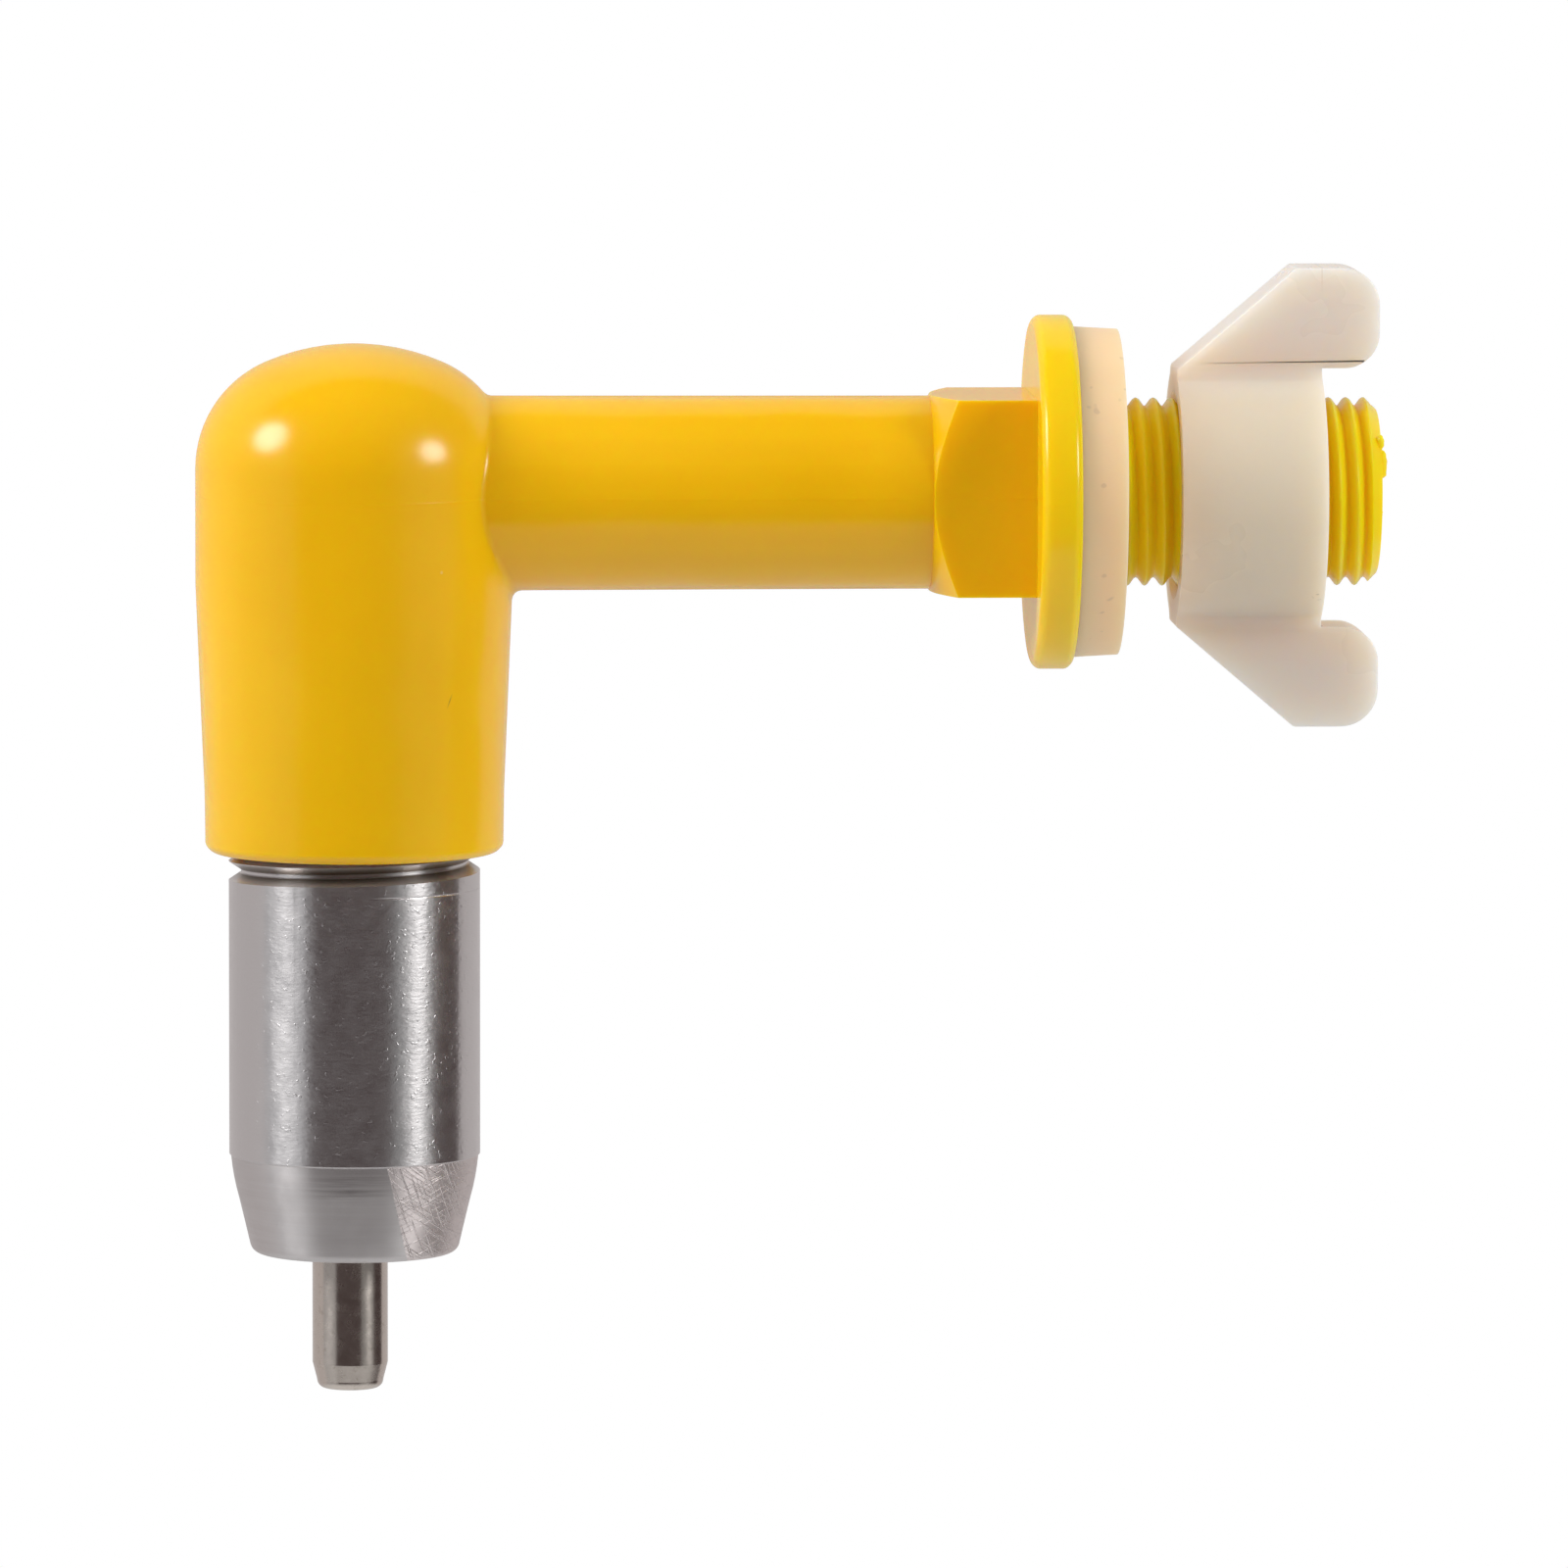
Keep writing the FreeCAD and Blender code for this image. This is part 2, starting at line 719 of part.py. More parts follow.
def check_features():
    """Stop on any object that failed to recompute."""
    bad = [item.Name for item in doc.Objects if {"Invalid", "Error"} & set(item.State)]
    if bad:
        raise RuntimeError(f"failed objects: {bad}")


def check_cuts(body):
    """Stop on a cut that took nothing away."""
    last = None
    for feature in body.Group:
        if not feature.isDerivedFrom("PartDesign::Feature"):
            continue
        cuts = feature.TypeId in ("PartDesign::Pocket", "PartDesign::Groove")
        if cuts and feature.Shape.Volume > last - 1e-6:
            raise RuntimeError(f"{feature.Name} on {body.Label} cuts nothing")
        last = feature.Shape.Volume


def write_steps(bodies):
    """Check every sub-part and write it to its own file."""
    os.makedirs("parts", exist_ok=True)
    for body in bodies:
        shape = body.Shape
        if shape.isNull() or not shape.isValid() or len(shape.Solids) != 1:
            raise RuntimeError(f"{body.Label} isn't one sound solid")
        shape.exportStep(f"parts/{body.Label}.step")
        print(f"{body.Label}: {shape.Volume:.2f} cubic millimetres")


def build():
    fill_sheet()
    reach = sheet.arm_length + sheet.flange_thickness + sheet.washer_thickness
    middle = sheet.bore_offset - reach
    bodies = [
        make_elbow_body(reach),
        make_sealing_washer(),
        make_wing_nut(),
        make_nipple_housing(reach),
        make_thread_gasket(reach),
        make_seat_bush(middle),
        make_valve_cage(middle),
        make_valve_stem(middle),
        make_trigger_pin(middle),
    ]
    doc.recompute()
    check_features()
    for body in bodies:
        check_cuts(body)
    write_steps(bodies)


build()
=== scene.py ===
"""Poultry nipple drinker: threads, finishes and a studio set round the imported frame.

Metres, in the row frame: +X along the stub towards the wing nut, +Z up, the
origin in the middle of the washer's clamping face.
"""

import math

import bpy
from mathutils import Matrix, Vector


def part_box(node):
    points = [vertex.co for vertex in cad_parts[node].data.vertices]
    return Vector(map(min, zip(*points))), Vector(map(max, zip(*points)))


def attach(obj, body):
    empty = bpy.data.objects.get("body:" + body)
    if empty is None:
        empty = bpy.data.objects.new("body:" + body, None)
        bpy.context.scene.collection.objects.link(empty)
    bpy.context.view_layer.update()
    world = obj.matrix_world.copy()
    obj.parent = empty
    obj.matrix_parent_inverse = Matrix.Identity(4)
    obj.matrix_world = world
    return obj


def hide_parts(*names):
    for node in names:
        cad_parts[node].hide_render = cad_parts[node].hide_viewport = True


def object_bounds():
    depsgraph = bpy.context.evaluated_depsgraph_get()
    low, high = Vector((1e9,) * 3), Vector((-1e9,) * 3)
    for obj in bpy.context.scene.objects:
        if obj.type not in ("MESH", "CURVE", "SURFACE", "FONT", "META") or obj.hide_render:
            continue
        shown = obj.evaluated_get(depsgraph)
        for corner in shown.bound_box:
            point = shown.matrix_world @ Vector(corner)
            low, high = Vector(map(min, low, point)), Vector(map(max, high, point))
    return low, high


MM = 0.001
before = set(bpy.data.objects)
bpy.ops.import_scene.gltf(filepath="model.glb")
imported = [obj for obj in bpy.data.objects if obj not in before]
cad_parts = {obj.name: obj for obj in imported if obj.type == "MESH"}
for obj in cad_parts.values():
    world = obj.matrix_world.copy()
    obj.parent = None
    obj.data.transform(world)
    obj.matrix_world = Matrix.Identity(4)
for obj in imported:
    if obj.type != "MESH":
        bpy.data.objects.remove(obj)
cad_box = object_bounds()

BARREL_X = (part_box("nipple_housing")[0].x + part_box("nipple_housing")[1].x) / 2
SKIRT_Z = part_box("elbow_body")[0].z
STUB_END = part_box("elbow_body")[1].x
FLANGE_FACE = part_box("sealing_washer")[0].x
FLANGE_BACK = FLANGE_FACE - 2.1 * MM
NUT_LOW, NUT_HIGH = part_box("wing_nut")
NUT_Z = (NUT_LOW.z + NUT_HIGH.z) / 2
NOSE_TOP_Z = -34.2 * MM
RING_Z = -20.37 * MM


# ---------------------------------------------------------------- mesh tools


def deselect():
    bpy.ops.object.select_all(action="DESELECT")


def make_active(piece):
    deselect()
    piece.select_set(True)
    bpy.context.view_layer.objects.active = piece


def apply_modifier(piece, kind, **settings):
    """Add one modifier to a piece and apply it."""
    make_active(piece)
    modifier = piece.modifiers.new(kind.title(), kind)
    for name, value in settings.items():
        setattr(modifier, name, value)
    bpy.ops.object.modifier_apply(modifier=modifier.name)


def copy_of(node, name):
    """A merged copy of a CAD node's mesh, as a piece of its own."""
    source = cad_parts[node]
    piece = bpy.data.objects.new(name, source.data.copy())
    bpy.context.scene.collection.objects.link(piece)
    make_active(piece)
    bpy.ops.object.mode_set(mode="EDIT")
    bpy.ops.mesh.select_all(action="SELECT")
    bpy.ops.mesh.remove_doubles(threshold=0.000002)
    bpy.ops.mesh.customdata_custom_splitnormals_clear()
    bpy.ops.object.mode_set(mode="OBJECT")
    return piece


def smooth(piece, angle=30):
    """Smooth shading between faces that meet at less than the angle."""
    make_active(piece)
    bpy.ops.object.shade_smooth_by_angle(angle=math.radians(angle))
    apply_modifier(piece, "WEIGHTED_NORMAL", keep_sharp=True, weight=100)


def place(piece, turn=None, shift=(0, 0, 0)):
    """Turn and shift a piece, and keep its object at the origin."""
    make_active(piece)
    if turn is not None:
        piece.rotation_euler = turn
    piece.location = shift
    bpy.ops.object.transform_apply(location=True, rotation=True, scale=True)


def profile(name, points):
    """A closed outline in the XZ plane, drawn point after point, ready to be swept."""
    deselect()
    bpy.ops.mesh.primitive_plane_add(size=MM)
    piece = bpy.context.object
    piece.name = name
    bpy.ops.object.mode_set(mode="EDIT")
    bpy.ops.mesh.select_mode(type="VERT")
    bpy.ops.mesh.select_all(action="SELECT")
    bpy.ops.mesh.merge(type="CENTER")
    bpy.ops.transform.translate(value=(points[0][0], 0, points[0][1]))
    for (x, z), (next_x, next_z) in zip(points, points[1:]):
        step = (next_x - x, 0, next_z - z)
        bpy.ops.mesh.extrude_vertices_move(TRANSFORM_OT_translate={"value": step})
    bpy.ops.mesh.select_all(action="SELECT")
    bpy.ops.mesh.edge_face_add()
    bpy.ops.mesh.delete(type="ONLY_FACE")
    bpy.ops.object.mode_set(mode="OBJECT")
    return piece


def helix(name, section, pitch, turns, steps=72):
    """A closed section, drawn at the first turn, swept along a right-hand helix on Z."""
    piece = profile(name, section)
    apply_modifier(
        piece, "SCREW", axis="Z", angle=2 * math.pi * turns, screw_offset=pitch * turns,
        steps=round(steps * turns), render_steps=round(steps * turns), use_merge_vertices=False,
    )
    make_active(piece)
    bpy.ops.object.mode_set(mode="EDIT")
    bpy.ops.mesh.select_all(action="SELECT")
    bpy.ops.mesh.fill_holes(sides=0)
    bpy.ops.mesh.select_all(action="SELECT")
    bpy.ops.mesh.normals_make_consistent(inside=False)
    bpy.ops.object.mode_set(mode="OBJECT")
    return piece


def cut(piece, cutter):
    """Take the cutter away from a piece, and remove it."""
    apply_modifier(piece, "BOOLEAN", object=cutter, operation="DIFFERENCE", solver="EXACT")
    bpy.data.objects.remove(cutter)


def add_shape(piece, shape):
    """Join a closed shape to a piece, and remove it."""
    apply_modifier(piece, "BOOLEAN", object=shape, operation="UNION", solver="EXACT")
    bpy.data.objects.remove(shape)


def round_edges(piece, width, chosen, segments=4):
    """Round the sharp edges that the test chooses by their two ends."""
    mesh = piece.data
    make_active(piece)
    bpy.ops.object.mode_set(mode="EDIT")
    bpy.ops.mesh.select_all(action="DESELECT")
    bpy.ops.mesh.select_mode(type="EDGE")
    bpy.ops.mesh.edges_select_sharp(sharpness=math.radians(35))
    bpy.ops.object.mode_set(mode="OBJECT")
    for edge in mesh.edges:
        first, second = (mesh.vertices[i].co for i in edge.vertices)
        edge.select = edge.select and chosen(first, second)
    bpy.ops.object.mode_set(mode="EDIT")
    bpy.ops.mesh.bevel(offset=width, segments=segments, affect="EDGES", clamp_overlap=True)
    bpy.ops.object.mode_set(mode="OBJECT")


def merge_flats(piece):
    """One face for each flat, so that an edge can be rounded cleanly."""
    make_active(piece)
    bpy.ops.object.mode_set(mode="EDIT")
    bpy.ops.mesh.select_all(action="SELECT")
    bpy.ops.mesh.dissolve_limited(angle_limit=math.radians(0.5))
    bpy.ops.object.mode_set(mode="OBJECT")


# ---------------------------------------------------------------- elbow


STUB_PITCH = 25.4 * MM / 28
STUB_CREST = 4.87 * MM
STUB_ROOT = 4.43 * MM
STUB_START = 0.62 * MM
EDGE_ROUND = 0.16 * MM
BEVEL_BAND = 0.35 * MM
SKIRT_BAND = 0.4 * MM
INSIDE_SKIRT = 7.2 * MM
GATE_Y = -3.4 * MM
GATE_SUNK = 0.06 * MM
GATE_RAGGED = 0.12
GATE_LUMPS = [(1.6 * MM, 0.75 * MM, 4), (2.75 * MM, 0.4 * MM, 7), (-0.9 * MM, 0.28 * MM, 2)]


def groove_section(root, crest, pitch, points=9):
    """The space between two crests: a smooth wave, open beyond the crest radius."""
    middle, depth = (root + crest) / 2, (crest - root) / 2
    half = 0.49 * pitch
    wave = []
    for i in range(points):
        z = -half + 2 * half * i / (points - 1)
        wave.append((middle - depth * math.cos(math.pi * z / half), z))
    beyond = crest + 0.5 * MM
    return [(beyond, -half), *wave, (beyond, half)]


def cut_stub_thread(elbow):
    """The right-hand pipe thread on the stub, from the washer to the stub's end."""
    first = FLANGE_FACE + STUB_START
    turns = math.ceil((STUB_END - first) / STUB_PITCH) + 1
    cutter = helix("stub_groove", groove_section(STUB_ROOT, STUB_CREST, STUB_PITCH), STUB_PITCH, turns)
    place(cutter, turn=(0, math.pi / 2, 0), shift=(first, 0, 0))
    cut(elbow, cutter)


def round_outer_edges(elbow):
    """Round the flange's rim and the skirt's lower edge, whose bevels are flat."""
    rim = max(math.hypot(v.co.y, v.co.z) for v in elbow.data.vertices if v.co.x > FLANGE_BACK)

    def on_rim(end):
        outer = math.hypot(end.y, end.z) > rim - BEVEL_BAND
        return outer and end.x > FLANGE_BACK - 0.1 * MM

    def on_skirt(end):
        outer = math.hypot(end.x - BARREL_X, end.y) > INSIDE_SKIRT
        return outer and end.z < SKIRT_Z + SKIRT_BAND

    for chosen in (on_rim, on_skirt):
        round_edges(elbow, EDGE_ROUND, lambda first, second: chosen(first) and chosen(second))


def add_gate_scar(elbow):
    """The ragged remains of the moulding gate on the stub's end: three small lumps."""
    for height, size, seed in GATE_LUMPS:
        deselect()
        bpy.ops.mesh.primitive_ico_sphere_add(subdivisions=3, radius=1)
        scar = bpy.context.object
        scar.scale = (0.5 * size, 0.6 * size, size)
        bpy.ops.object.transform_apply(location=False, rotation=False, scale=True)
        bpy.ops.object.mode_set(mode="EDIT")
        bpy.ops.mesh.select_all(action="SELECT")
        bpy.ops.transform.vertex_random(offset=GATE_RAGGED * size, seed=seed)
        bpy.ops.object.mode_set(mode="OBJECT")
        place(scar, shift=(STUB_END - GATE_SUNK, GATE_Y, height))
        add_shape(elbow, scar)


def make_elbow():
    elbow = copy_of("elbow_body", "elbow")
    round_outer_edges(elbow)
    cut_stub_thread(elbow)
    add_gate_scar(elbow)
    smooth(elbow)
    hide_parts("elbow_body")
    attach(elbow, "drinker")
    return elbow


# ---------------------------------------------------------------- nipple


HOUSING_PITCH = 1.0 * MM
HOUSING_CREST = 6.49 * MM
HOUSING_ROOT = 5.86 * MM
LAST_GROOVE_Z = -19.75 * MM


def make_nipple():
    """The turned housing, with the thread that shows below the plastic barrel."""
    nipple = copy_of("nipple_housing", "nipple")
    half, flat = 0.46 * HOUSING_PITCH, 0.06 * HOUSING_PITCH
    beyond = HOUSING_CREST + 0.3 * MM
    flank = half * (beyond - HOUSING_ROOT) / (HOUSING_CREST - HOUSING_ROOT)
    section = [(HOUSING_ROOT, -flat), (beyond, -flank), (beyond, flank), (HOUSING_ROOT, flat)]
    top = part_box("nipple_housing")[1].z
    turns = math.ceil((top - LAST_GROOVE_Z) / HOUSING_PITCH) + 1
    cutter = helix("nipple_groove", section, HOUSING_PITCH, turns)
    place(cutter, turn=(0, 0, math.pi / 2), shift=(BARREL_X, 0, LAST_GROOVE_Z))
    cut(nipple, cutter)
    smooth(nipple)
    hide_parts("nipple_housing")
    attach(nipple, "drinker")
    return nipple


# ---------------------------------------------------------------- nut


HUB_END = NUT_LOW.x + 7.47 * MM
RIDGE_CREST = 4.67 * MM
RIDGE_FOOT = 5.25 * MM
RIDGE_MARGIN = 0.6 * MM
WING_ROUND = 0.4 * MM


def soften_wings(nut, width):
    """Round the outlines of the wings' two flat faces, but not where they meet the hub."""
    side = max(abs(v.co.y) for v in nut.data.vertices if v.co.z > NUT_HIGH.z - 1 * MM)
    middle = [v.co for v in nut.data.vertices if abs(v.co.z - NUT_Z) < MM]
    hub = max(math.hypot(point.y, point.z - NUT_Z) for point in middle)

    def outer(first, second):
        halfway = (first + second) / 2
        on_flats = all(abs(abs(end.y) - side) < 0.02 * MM for end in (first, second))
        return on_flats and math.hypot(halfway.y, halfway.z - NUT_Z) > hub + 0.05 * MM

    merge_flats(nut)
    round_edges(nut, width, outer)


def add_nut_thread(nut):
    """The ridge inside the nut, in the stub's grooves."""
    crest, foot = (RIDGE_CREST, 0.05 * MM), (RIDGE_FOOT, 0.4 * MM)
    section = [(crest[0], -crest[1]), (foot[0], -foot[1]), foot, crest]
    first = FLANGE_FACE + STUB_START
    skip = math.ceil((NUT_LOW.x + RIDGE_MARGIN - first) / STUB_PITCH)
    turns = math.floor((HUB_END - RIDGE_MARGIN - first) / STUB_PITCH) - skip
    ridge = helix("nut_ridge", section, STUB_PITCH, turns)
    place(ridge, turn=(0, math.pi / 2, 0), shift=(first + skip * STUB_PITCH, 0, NUT_Z))
    add_shape(nut, ridge)


def make_nut():
    """The wing nut with soft wing edges and a thread in step with the stub's."""
    nut = copy_of("wing_nut", "wing_nut_threaded")
    add_nut_thread(nut)
    soften_wings(nut, WING_ROUND)
    smooth(nut, 35)
    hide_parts("wing_nut")
    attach(nut, "nut")
    return nut


# ---------------------------------------------------------------- shader tools


class Number:
    """A number that varies over a surface, with arithmetic that adds Math nodes."""

    def __init__(self, paint, socket):
        self.paint = paint
        self.socket = socket

    def _math(self, operation, first, second=None):
        values = {0: first} if second is None else {0: first, 1: second}
        node = self.paint.node("Math", {"operation": operation}, values)
        return Number(self.paint, node.outputs[0])

    def __add__(self, other):
        return self._math("ADD", self, other)

    __radd__ = __add__

    def __sub__(self, other):
        return self._math("SUBTRACT", self, other)

    def __rsub__(self, other):
        return self._math("SUBTRACT", other, self)

    def __mul__(self, other):
        return self._math("MULTIPLY", self, other)

    __rmul__ = __mul__

    def __pow__(self, other):
        return self._math("POWER", self, other)

    def __abs__(self):
        return self._math("ABSOLUTE", self)

    def least(self, other):
        return self._math("MINIMUM", self, other)


class Paint:
    """A material, or the world, and the tools to wire it."""

    def __init__(self, owner):
        owner.use_nodes = True
        self.owner = owner
        self.tree = owner.node_tree
        self.tree.nodes.clear()

    def node(self, kind, settings=None, inputs=None):
        """A node of that kind, its settings first and then its sockets."""
        made = self.tree.nodes.new("ShaderNode" + kind)
        for name, value in (settings or {}).items():
            setattr(made, name, value)
        for key, value in (inputs or {}).items():
            socket = made.inputs[key]
            if isinstance(value, Number):
                value = value.socket
            if isinstance(value, bpy.types.NodeSocket):
                self.tree.links.new(value, socket)
            else:
                socket.default_value = value
        return made

    def number(self, kind, settings=None, inputs=None, output=0):
        return Number(self, self.node(kind, settings, inputs).outputs[output])

    def where(self):
        """Object coordinates, as a vector."""
        return self.node("TexCoord").outputs["Object"]

    def place(self):
        """Object coordinates, as a vector and as three numbers."""
        where = self.where()
        parts = self.node("SeparateXYZ", None, {0: where})
        return where, *(Number(self, parts.outputs[i]) for i in range(3))

    def stretched(self, where, scale):
        return self.node("Mapping", None, {"Vector": where, "Scale": scale}).outputs[0]

    def noise(self, where, scale, detail=2.0, roughness=0.5):
        inputs = {"Vector": where, "Scale": scale, "Detail": detail, "Roughness": roughness}
        return self.number("TexNoise", None, inputs)

    def mix(self, share, first, second):
        """A colour between two others."""
        settings = {"data_type": "RGBA"}
        return self.node("Mix", settings, {0: share, 6: first, 7: second}).outputs[2]

    def spread(self, value, low, high, to_low=0.0, to_high=1.0):
        """The value's range low to high, stretched to another range and held within it."""
        inputs = {0: value, 1: low, 2: high, 3: to_low, 4: to_high}
        return self.number("MapRange", {"clamp": True}, inputs)

    def mark(self, offset, width):
        """1 where the offset is nothing, fading to 0 at the width either way."""
        return self.spread(abs(offset), width, 0.0)

    def spot(self, where, middle, radius):
        """1 in the middle of a small ball, fading to 0 at its radius."""
        settings = {"operation": "DISTANCE"}
        away = self.node("VectorMath", settings, {0: where, 1: middle}).outputs["Value"]
        return self.spread(away, radius, 0.0)

    def scratches(self, where, angle):
        """Sparse fine lines that lie at an angle in the XZ plane."""
        turned = self.node(
            "Mapping",
            {"vector_type": "TEXTURE"},
            {
                "Vector": where,
                "Rotation": (0.0, math.radians(angle), 0.0),
                "Scale": (0.0035, 0.003, 0.00012),
            },
        ).outputs[0]
        return self.spread(self.noise(turned, 1.0, 2.0), 0.56, 0.66)

    def bump(self, height, distance, strength=1.0):
        inputs = {"Height": height, "Distance": distance, "Strength": strength}
        return self.node("Bump", None, inputs).outputs[0]

    def finish(self, **sockets):
        """The surface itself; names are the shader's own, with _ for a space."""
        inputs = {name.replace("_", " "): value for name, value in sockets.items()}
        shader = self.node("BsdfPrincipled", None, inputs)
        self.node("OutputMaterial", None, {"Surface": shader.outputs[0]})
        return self.owner


def new_paint(name):
    return Paint(bpy.data.materials.new(name))


def colour(red, green, blue):
    return (red, green, blue, 1.0)


# ---------------------------------------------------------------- finishes


TINT_FADE = 0.3 * MM


def yellow_plastic():
    """Glossy moulded plastic with a faint parting line round its middle."""
    paint = new_paint("yellow_plastic")
    where, x, y, z = paint.place()
    cloud = paint.noise(where, 90.0, 3.0)
    fine = paint.noise(where, 2600.0, 2.0)
    base = paint.mix(
        paint.spread(cloud, 0.35, 0.65), colour(0.86, 0.49, 0.001), colour(0.9, 0.52, 0.002)
    )
    # Painted light: the flange and, further on, the stub are painted paler and yellower than the body,
    # standing in for the stronger light from the right.
    painted_light_flange = paint.spread(x, FLANGE_BACK - TINT_FADE, FLANGE_BACK + TINT_FADE)
    base = paint.mix(painted_light_flange, base, colour(0.88, 0.61, 0.004))
    stub = paint.spread(x, FLANGE_FACE, FLANGE_FACE + TINT_FADE)
    base = paint.mix(stub, base, colour(0.96, 0.68, 0.006))
    hair_x, hair_z, hair_lean = BARREL_X + 4.75 * MM, -10.2 * MM, 0.35
    hair = paint.mark(x - hair_x - (z - hair_z) * hair_lean, 0.045 * MM)
    hair = hair * paint.mark(z - hair_z, 0.42 * MM) * paint.spread(y, -5 * MM, -6 * MM)
    speck_place = (BARREL_X + 4.3 * MM, -6.9 * MM, -3.55 * MM)
    speck = paint.spot(where, speck_place, 0.12 * MM)
    base = paint.mix(hair * 0.75, base, colour(0.16, 0.09, 0.03))
    base = paint.mix(speck * 0.5, base, colour(0.95, 0.85, 0.5))
    seam = paint.mark(z, 0.07 * MM) * paint.spread(paint.noise(where, 260.0), 0.4, 0.55, 0.2, 1.0)
    height = fine * 0.05 + seam
    return paint.finish(
        Base_Color=base,
        Roughness=paint.spread(cloud, 0.3, 0.7, 0.19, 0.24),
        IOR=1.45,
        Subsurface_Weight=0.8,
        Subsurface_Radius=(1.0, 0.45, 0.05),
        Subsurface_Scale=0.0016,
        Normal=paint.bump(height, 0.000008),
    )


def pale_rubber():
    """Soft peach rubber with a few specks."""
    paint = new_paint("pale_rubber")
    where = paint.where()
    cloud = paint.noise(where, 160.0, 3.0)
    fine = paint.noise(where, 3000.0, 2.0)
    base = paint.mix(cloud, colour(0.9, 0.61, 0.35), colour(0.93, 0.66, 0.4))
    specks = paint.spread(paint.noise(where, 1500.0, 1.0), 0.7, 0.76)
    base = paint.mix(specks * 0.35, base, colour(0.5, 0.36, 0.24))
    return paint.finish(
        Base_Color=base,
        Roughness=paint.spread(cloud, 0.3, 0.7, 0.42, 0.55),
        Subsurface_Weight=0.6,
        Subsurface_Radius=(1.0, 0.65, 0.4),
        Subsurface_Scale=0.003,
        Normal=paint.bump(fine + specks, 0.00001, 0.5),
    )


def milky_plastic():
    """Milky plastic: warm on the thick hub, partly its own tone and partly painted warm light, greyer
    in the wings.
    """
    paint = new_paint("milky_plastic")
    where, x, y, z = paint.place()
    cloud = paint.noise(where, 140.0, 3.0)
    fine = paint.noise(where, 2600.0, 2.0)
    # Painted warm light, in part: the hub is painted warm peach, warmest at the washer end, and fades
    # to grey out in the wings; the rest of the warmth is the plastic's own tone.
    out = paint.spread(abs(z - NUT_Z), 5.0 * MM, 9.0 * MM)
    along = paint.spread(x, NUT_LOW.x, NUT_LOW.x + 8.5 * MM)
    hub = paint.mix(along, colour(0.81, 0.62, 0.47), colour(0.8, 0.66, 0.52))
    base = paint.mix(out, hub, colour(0.74, 0.68, 0.62))
    dirt_place = (NUT_LOW.x + 7.2 * MM, -4.6 * MM, NUT_Z - 5.0 * MM)
    dirt = paint.spot(where, dirt_place, 0.45 * MM)
    dirt = dirt * paint.spread(paint.noise(where, 3800.0, 2.0), 0.5, 0.6)
    gate_x = NUT_LOW.x + 7.45 * MM
    gate = paint.mark(x - gate_x, 0.05 * MM)
    gate = gate * paint.spread(z, NUT_HIGH.z - 1.3 * MM, NUT_HIGH.z - 0.5 * MM)
    base = paint.mix(dirt * 0.8, base, colour(0.16, 0.12, 0.09))
    base = paint.mix(gate * 0.5, base, colour(0.55, 0.45, 0.36))
    return paint.finish(
        Base_Color=base,
        Roughness=paint.spread(cloud, 0.3, 0.7, 0.26, 0.34),
        Subsurface_Weight=0.9,
        Subsurface_Radius=(1.0, 0.75, 0.5),
        Subsurface_Scale=0.005,
        Normal=paint.bump(fine, 0.00001, 0.4),
    )


